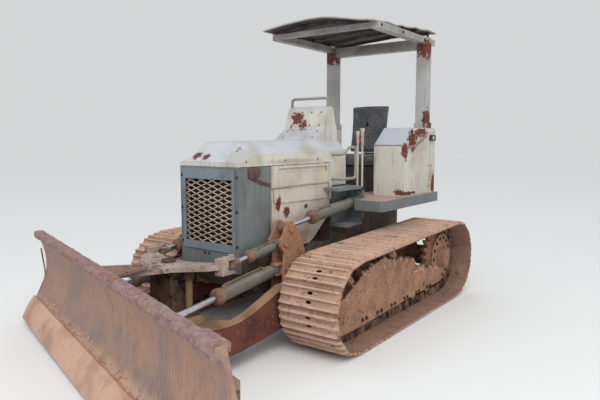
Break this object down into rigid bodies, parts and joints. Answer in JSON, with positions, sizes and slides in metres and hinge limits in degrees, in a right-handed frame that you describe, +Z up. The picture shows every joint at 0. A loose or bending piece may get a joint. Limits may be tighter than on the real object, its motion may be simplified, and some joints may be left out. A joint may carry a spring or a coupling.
{
  "type": "bulldozer",
  "caption": "Compact crawler bulldozer with an angling and tilting curved blade, a mesh-guarded radiator, an open operator's station and a flat roof on two posts.",
  "frame": {"origin": "on the ground, on the centre line, halfway between the idler and the sprocket axles", "axes": "+X to the machine's left, -Y forward to the blade, +Z up"},
  "size_m": [3.0383, 4.2918, 2.58],
  "materials": {
    "frame_steel": "dark red-brown paint under dirt",
    "engine_iron": "oily black iron",
    "blue_grey_paint": "faded blue-grey paint, chipped",
    "mesh_steel": "pale dusty expanded metal",
    "core_metal": "dark finned core",
    "off_white_paint": "weathered off-white paint with rust",
    "cream_paint": "yellowed cream paint with rust",
    "deck_paint": "worn blue-grey deck under tan dust",
    "seat_metal": "grey painted sheet",
    "seat_cover": "dark worn seat cover",
    "roof_metal": "dark grey-brown sheet with pale edge",
    "rail_paint": "chipped off-white tube",
    "lever_metal": "worn steel rods",
    "dirty_iron": "iron caked with tan dirt",
    "track_steel": "rusty steel caked with tan dirt",
    "tan_steel": "rusty steel under tan dust",
    "tower_steel": "dark grey-brown greasy steel",
    "blade_steel": "bare rusty steel, streaked",
    "edge_steel": "worn pale steel",
    "rod_chrome": "polished chrome"
  },
  "bodies": {
    "chassis": {"hull": "frame_steel", "axles": "dirty_iron", "engine_block": "engine_iron", "radiator_guard": "blue_grey_paint", "grille_frame": "blue_grey_paint", "grille_mesh": "mesh_steel", "radiator_core": "core_metal", "hood": "off_white_paint", "dash_cowl": "off_white_paint", "side_covers": "cream_paint", "platform": "deck_paint", "side_boxes": "off_white_paint", "seat_frame": "seat_metal", "seat_cushion": "seat_cover", "seat_back": "seat_cover", "rops_frame": "off_white_paint", "canopy_roof": "roof_metal", "handrails": "rail_paint", "control_levers": "lever_metal", "lift_brackets": "blue_grey_paint", "track_frames": "dirty_iron", "track_left": "track_steel", "track_right": "track_steel", "sprockets": "dirty_iron", "idlers": "dirty_iron"},
    "c_frame": {"push_frame": "frame_steel", "lift_plates": "tan_steel", "tilt_tower": "tower_steel"},
    "pivot": {"pivot_block": "tower_steel"},
    "blade": {"moldboard": "blade_steel", "blade_back": "tan_steel", "cutting_edge": "edge_steel"},
    "tilt_lever": {"tilt_lever": "tan_steel"},
    "lift_barrel_left": {"lift_barrel_left": "blue_grey_paint"},
    "lift_rod_left": {"lift_rod_left": "rod_chrome"},
    "tilt_barrel_left": {"tilt_barrel_left": "blue_grey_paint"},
    "tilt_rod_left": {"tilt_rod_left": "rod_chrome"},
    "angle_yoke_left": {"angle_yoke_left": "tan_steel"},
    "angle_barrel_left": {"angle_barrel_left": "blue_grey_paint"},
    "angle_rod_left": {"angle_rod_left": "rod_chrome"},
    "lift_barrel_right": {"lift_barrel_right": "blue_grey_paint"},
    "lift_rod_right": {"lift_rod_right": "rod_chrome"},
    "tilt_barrel_right": {"tilt_barrel_right": "blue_grey_paint"},
    "tilt_rod_right": {"tilt_rod_right": "rod_chrome"},
    "angle_yoke_right": {"angle_yoke_right": "tan_steel"},
    "angle_barrel_right": {"angle_barrel_right": "blue_grey_paint"},
    "angle_rod_right": {"angle_rod_right": "rod_chrome"}
  },
  "joints": [
    {"name": "blade_lift", "type": "hinge", "parent": "chassis", "child": "c_frame", "pos_m": [0, 0.065, 0.4], "axis": [-1, 0, 0], "range_deg": [-7, 17]},
    {"name": "blade_tilt", "type": "hinge", "parent": "c_frame", "child": "pivot", "pos_m": [0, -2.15, 0.225], "axis": [0, -1, 0], "range_deg": [-3.6, 5.4]},
    {"name": "blade_angle", "type": "hinge", "parent": "pivot", "child": "blade", "pos_m": [0, -2.15, 0.225], "axis": [0.0157, 0, 0.9999], "range_deg": [-7.7, 42.3]},
    {"name": "lift_barrel_left_swing", "type": "hinge", "parent": "chassis", "child": "lift_barrel_left", "pos_m": [0.398, 0.035, 0.955], "axis": [-1, 0, 0], "range_deg": [-7.4, 17.7]},
    {"name": "lift_rod_left_stroke", "type": "slide", "parent": "lift_barrel_left", "child": "lift_rod_left", "axis": [0, -0.9943, -0.1065], "range_m": [-0.166, 0.069]},
    {"name": "lift_barrel_right_swing", "type": "hinge", "parent": "chassis", "child": "lift_barrel_right", "pos_m": [-0.398, 0.035, 0.955], "axis": [-1, 0, 0], "range_deg": [-7.4, 17.7]},
    {"name": "lift_rod_right_stroke", "type": "slide", "parent": "lift_barrel_right", "child": "lift_rod_right", "axis": [0, -0.9943, -0.1065], "range_m": [-0.166, 0.069]},
    {"name": "tilt_lever_swing", "type": "hinge", "parent": "c_frame", "child": "tilt_lever", "pos_m": [0, -1.725, 0.66], "axis": [0, 0, 1], "range_deg": [-5.7, 3.8]},
    {"name": "tilt_barrel_left_swing", "type": "hinge", "parent": "c_frame", "child": "tilt_barrel_left", "pos_m": [0.398, -1.005, 0.745], "axis": [0, 0, 1], "range_deg": [-2.2, 3.2]},
    {"name": "tilt_rod_left_stroke", "type": "slide", "parent": "tilt_barrel_left", "child": "tilt_rod_left", "axis": [-0.0949, -0.9799, -0.1754], "range_m": [-0.023, 0.033]},
    {"name": "tilt_barrel_right_swing", "type": "hinge", "parent": "c_frame", "child": "tilt_barrel_right", "pos_m": [-0.398, -1.005, 0.745], "axis": [0, 0, 1], "range_deg": [-2.4, 3.5]},
    {"name": "tilt_rod_right_stroke", "type": "slide", "parent": "tilt_barrel_right", "child": "tilt_rod_right", "axis": [0.0949, -0.9799, -0.1754], "range_m": [-0.031, 0.021]},
    {"name": "angle_yoke_left_pitch", "type": "hinge", "parent": "c_frame", "child": "angle_yoke_left", "pos_m": [0.398, -0.985, 0.553], "axis": [-1, 0, 0], "range_deg": [-1.4, 2.1]},
    {"name": "angle_barrel_left_swing", "type": "hinge", "parent": "angle_yoke_left", "child": "angle_barrel_left", "pos_m": [0.398, -1.062, 0.553], "axis": [0, 0, 1], "range_deg": [-1.6, 0.4]},
    {"name": "angle_rod_left_stroke", "type": "slide", "parent": "angle_barrel_left", "child": "angle_rod_left", "axis": [0.0452, -0.9945, -0.094], "range_m": [-0.328, 0.061]},
    {"name": "angle_yoke_right_pitch", "type": "hinge", "parent": "c_frame", "child": "angle_yoke_right", "pos_m": [-0.398, -0.985, 0.553], "axis": [-1, 0, 0], "range_deg": [-2.4, 1.7]},
    {"name": "angle_barrel_right_swing", "type": "hinge", "parent": "angle_yoke_right", "child": "angle_barrel_right", "pos_m": [-0.398, -1.062, 0.553], "axis": [0, 0, 1], "range_deg": [-2.6, 0.6]},
    {"name": "angle_rod_right_stroke", "type": "slide", "parent": "angle_barrel_right", "child": "angle_rod_right", "axis": [-0.0113, -0.9942, -0.107], "range_m": [-0.061, 0.327]}
  ],
  "couplings": [
    {"joint": "lift_barrel_left_swing", "follows": "blade_lift", "ratio": 1.0336},
    {"joint": "lift_rod_left_stroke", "follows": "blade_lift", "m_per_rad": -0.553},
    {"joint": "lift_barrel_right_swing", "follows": "blade_lift", "ratio": 1.0336},
    {"joint": "lift_rod_right_stroke", "follows": "blade_lift", "m_per_rad": -0.553},
    {"joint": "tilt_lever_swing", "follows": "blade_tilt", "ratio": -1.0209},
    {"joint": "tilt_barrel_left_swing", "follows": "blade_tilt", "ratio": 0.5613},
    {"joint": "tilt_rod_left_stroke", "follows": "blade_tilt", "m_per_rad": 0.3374},
    {"joint": "tilt_barrel_right_swing", "follows": "blade_tilt", "ratio": 0.629},
    {"joint": "tilt_rod_right_stroke", "follows": "blade_tilt", "m_per_rad": -0.3172},
    {"joint": "angle_yoke_left_pitch", "follows": "blade_tilt", "ratio": 0.3567},
    {"joint": "angle_barrel_left_swing", "follows": "blade_angle", "ratio": -0.0346},
    {"joint": "angle_rod_left_stroke", "follows": "blade_angle", "m_per_rad": -0.4421},
    {"joint": "angle_yoke_right_pitch", "follows": "blade_tilt", "ratio": -0.419},
    {"joint": "angle_barrel_right_swing", "follows": "blade_angle", "ratio": -0.0578},
    {"joint": "angle_rod_right_stroke", "follows": "blade_angle", "m_per_rad": 0.4405}
  ]
}
